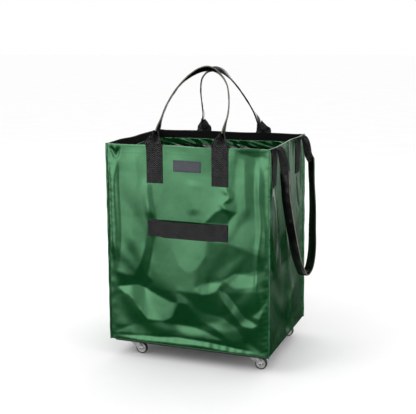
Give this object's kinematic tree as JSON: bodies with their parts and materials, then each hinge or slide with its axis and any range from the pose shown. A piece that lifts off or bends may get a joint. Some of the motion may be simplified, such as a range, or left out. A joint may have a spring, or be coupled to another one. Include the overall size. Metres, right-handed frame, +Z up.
{
  "type": "rolling tote bag",
  "caption": "Tall open-topped fabric tote on a rigid base with swivel casters, long carry handles, a side strap and grab handles.",
  "frame": {"origin": "on the floor, under the middle of the whole part, which is 32 mm from the bag's own middle towards its side strap", "axes": "+X across the width to the right, +Y from front to back, +Z up"},
  "size_m": [0.572, 0.3964, 0.8739],
  "materials": {
    "green_laminate": "glossy laminated woven fabric with fine horizontal weave lines",
    "seam_fabric": "pinched and stitched glossy laminate",
    "black_webbing": "matt twill webbing",
    "grip_vinyl": "glossy black vinyl with pale cut edges",
    "binding_tape": "matt ribbed tape",
    "label_fabric": "flat slate-grey woven label, blank",
    "board_plastic": "satin black sheet",
    "zinc_steel": "zinc plated, pressed",
    "bright_steel": "polished",
    "wheel_grey": "light grey, satin",
    "tyre_rubber": "matt black, scuffed tread"
  },
  "bodies": {
    "bag": {"front_panel": "green_laminate", "back_panel": "green_laminate", "left_panel": "green_laminate", "right_panel": "green_laminate", "bottom_panel": "green_laminate", "base_board": "board_plastic", "inner_board": "board_plastic", "rim_tape": "binding_tape", "corner_seams": "seam_fabric", "board_rivets": "zinc_steel", "label": "label_fabric", "front_grab_handle": "black_webbing", "back_grab_handle": "black_webbing", "front_handle_anchors": "black_webbing", "back_handle_anchors": "black_webbing", "side_strap_anchors": "black_webbing", "caster_fl_plate": "zinc_steel", "caster_fl_kingpin": "zinc_steel", "caster_fl_balls": "bright_steel", "caster_fr_plate": "zinc_steel", "caster_fr_kingpin": "zinc_steel", "caster_fr_balls": "bright_steel", "caster_bl_plate": "zinc_steel", "caster_bl_kingpin": "zinc_steel", "caster_bl_balls": "bright_steel", "caster_br_plate": "zinc_steel", "caster_br_kingpin": "zinc_steel", "caster_br_balls": "bright_steel"},
    "front_handle": {"front_handle_roots": "black_webbing", "front_handle_sleeve": "grip_vinyl"},
    "back_handle": {"back_handle_roots": "black_webbing", "back_handle_sleeve": "grip_vinyl"},
    "side_strap": {"side_strap_roots": "black_webbing", "side_strap_sleeve": "grip_vinyl"},
    "fork_fl": {"caster_fl_fork": "zinc_steel", "caster_fl_axle_bolt": "bright_steel", "caster_fl_axle_nut": "zinc_steel"},
    "wheel_fl": {"caster_fl_wheel_core": "wheel_grey", "caster_fl_tyre": "tyre_rubber"},
    "fork_fr": {"caster_fr_fork": "zinc_steel", "caster_fr_axle_bolt": "bright_steel", "caster_fr_axle_nut": "zinc_steel"},
    "wheel_fr": {"caster_fr_wheel_core": "wheel_grey", "caster_fr_tyre": "tyre_rubber"},
    "fork_bl": {"caster_bl_fork": "zinc_steel", "caster_bl_axle_bolt": "bright_steel", "caster_bl_axle_nut": "zinc_steel"},
    "wheel_bl": {"caster_bl_wheel_core": "wheel_grey", "caster_bl_tyre": "tyre_rubber"},
    "fork_br": {"caster_br_fork": "zinc_steel", "caster_br_axle_bolt": "bright_steel", "caster_br_axle_nut": "zinc_steel"},
    "wheel_br": {"caster_br_wheel_core": "wheel_grey", "caster_br_tyre": "tyre_rubber"}
  },
  "joints": [
    {"name": "front_handle_swing", "type": "hinge", "parent": "bag", "child": "front_handle", "pos_m": [-0.028, -0.187, 0.657], "axis": [1, 0, 0], "range_deg": [0, 190]},
    {"name": "back_handle_swing", "type": "hinge", "parent": "bag", "child": "back_handle", "pos_m": [-0.018, 0.187, 0.657], "axis": [-1, 0, 0], "range_deg": [0, 190]},
    {"name": "side_strap_swing", "type": "hinge", "parent": "bag", "child": "side_strap", "pos_m": [0.224, -0.0125, 0.648], "axis": [0, -1, 0], "range_deg": [0, 140]},
    {"name": "swivel_fl", "type": "hinge", "parent": "bag", "child": "fork_fl", "pos_m": [-0.224, -0.1465, 0.042], "axis": [0, 0, 1], "continuous": true},
    {"name": "roll_fl", "type": "hinge", "parent": "fork_fl", "child": "wheel_fl", "pos_m": [-0.2024, -0.1465, 0.018], "axis": [0, 1, 0], "continuous": true},
    {"name": "swivel_fr", "type": "hinge", "parent": "bag", "child": "fork_fr", "pos_m": [0.16, -0.1465, 0.042], "axis": [0, 0, 1], "continuous": true},
    {"name": "roll_fr", "type": "hinge", "parent": "fork_fr", "child": "wheel_fr", "pos_m": [0.1816, -0.1465, 0.018], "axis": [0, 1, 0], "continuous": true},
    {"name": "swivel_bl", "type": "hinge", "parent": "bag", "child": "fork_bl", "pos_m": [-0.224, 0.1465, 0.042], "axis": [0, 0, 1], "continuous": true},
    {"name": "roll_bl", "type": "hinge", "parent": "fork_bl", "child": "wheel_bl", "pos_m": [-0.2024, 0.1465, 0.018], "axis": [0, 1, 0], "continuous": true},
    {"name": "swivel_br", "type": "hinge", "parent": "bag", "child": "fork_br", "pos_m": [0.16, 0.1465, 0.042], "axis": [0, 0, 1], "continuous": true},
    {"name": "roll_br", "type": "hinge", "parent": "fork_br", "child": "wheel_br", "pos_m": [0.1816, 0.1465, 0.018], "axis": [0, 1, 0], "continuous": true}
  ]
}
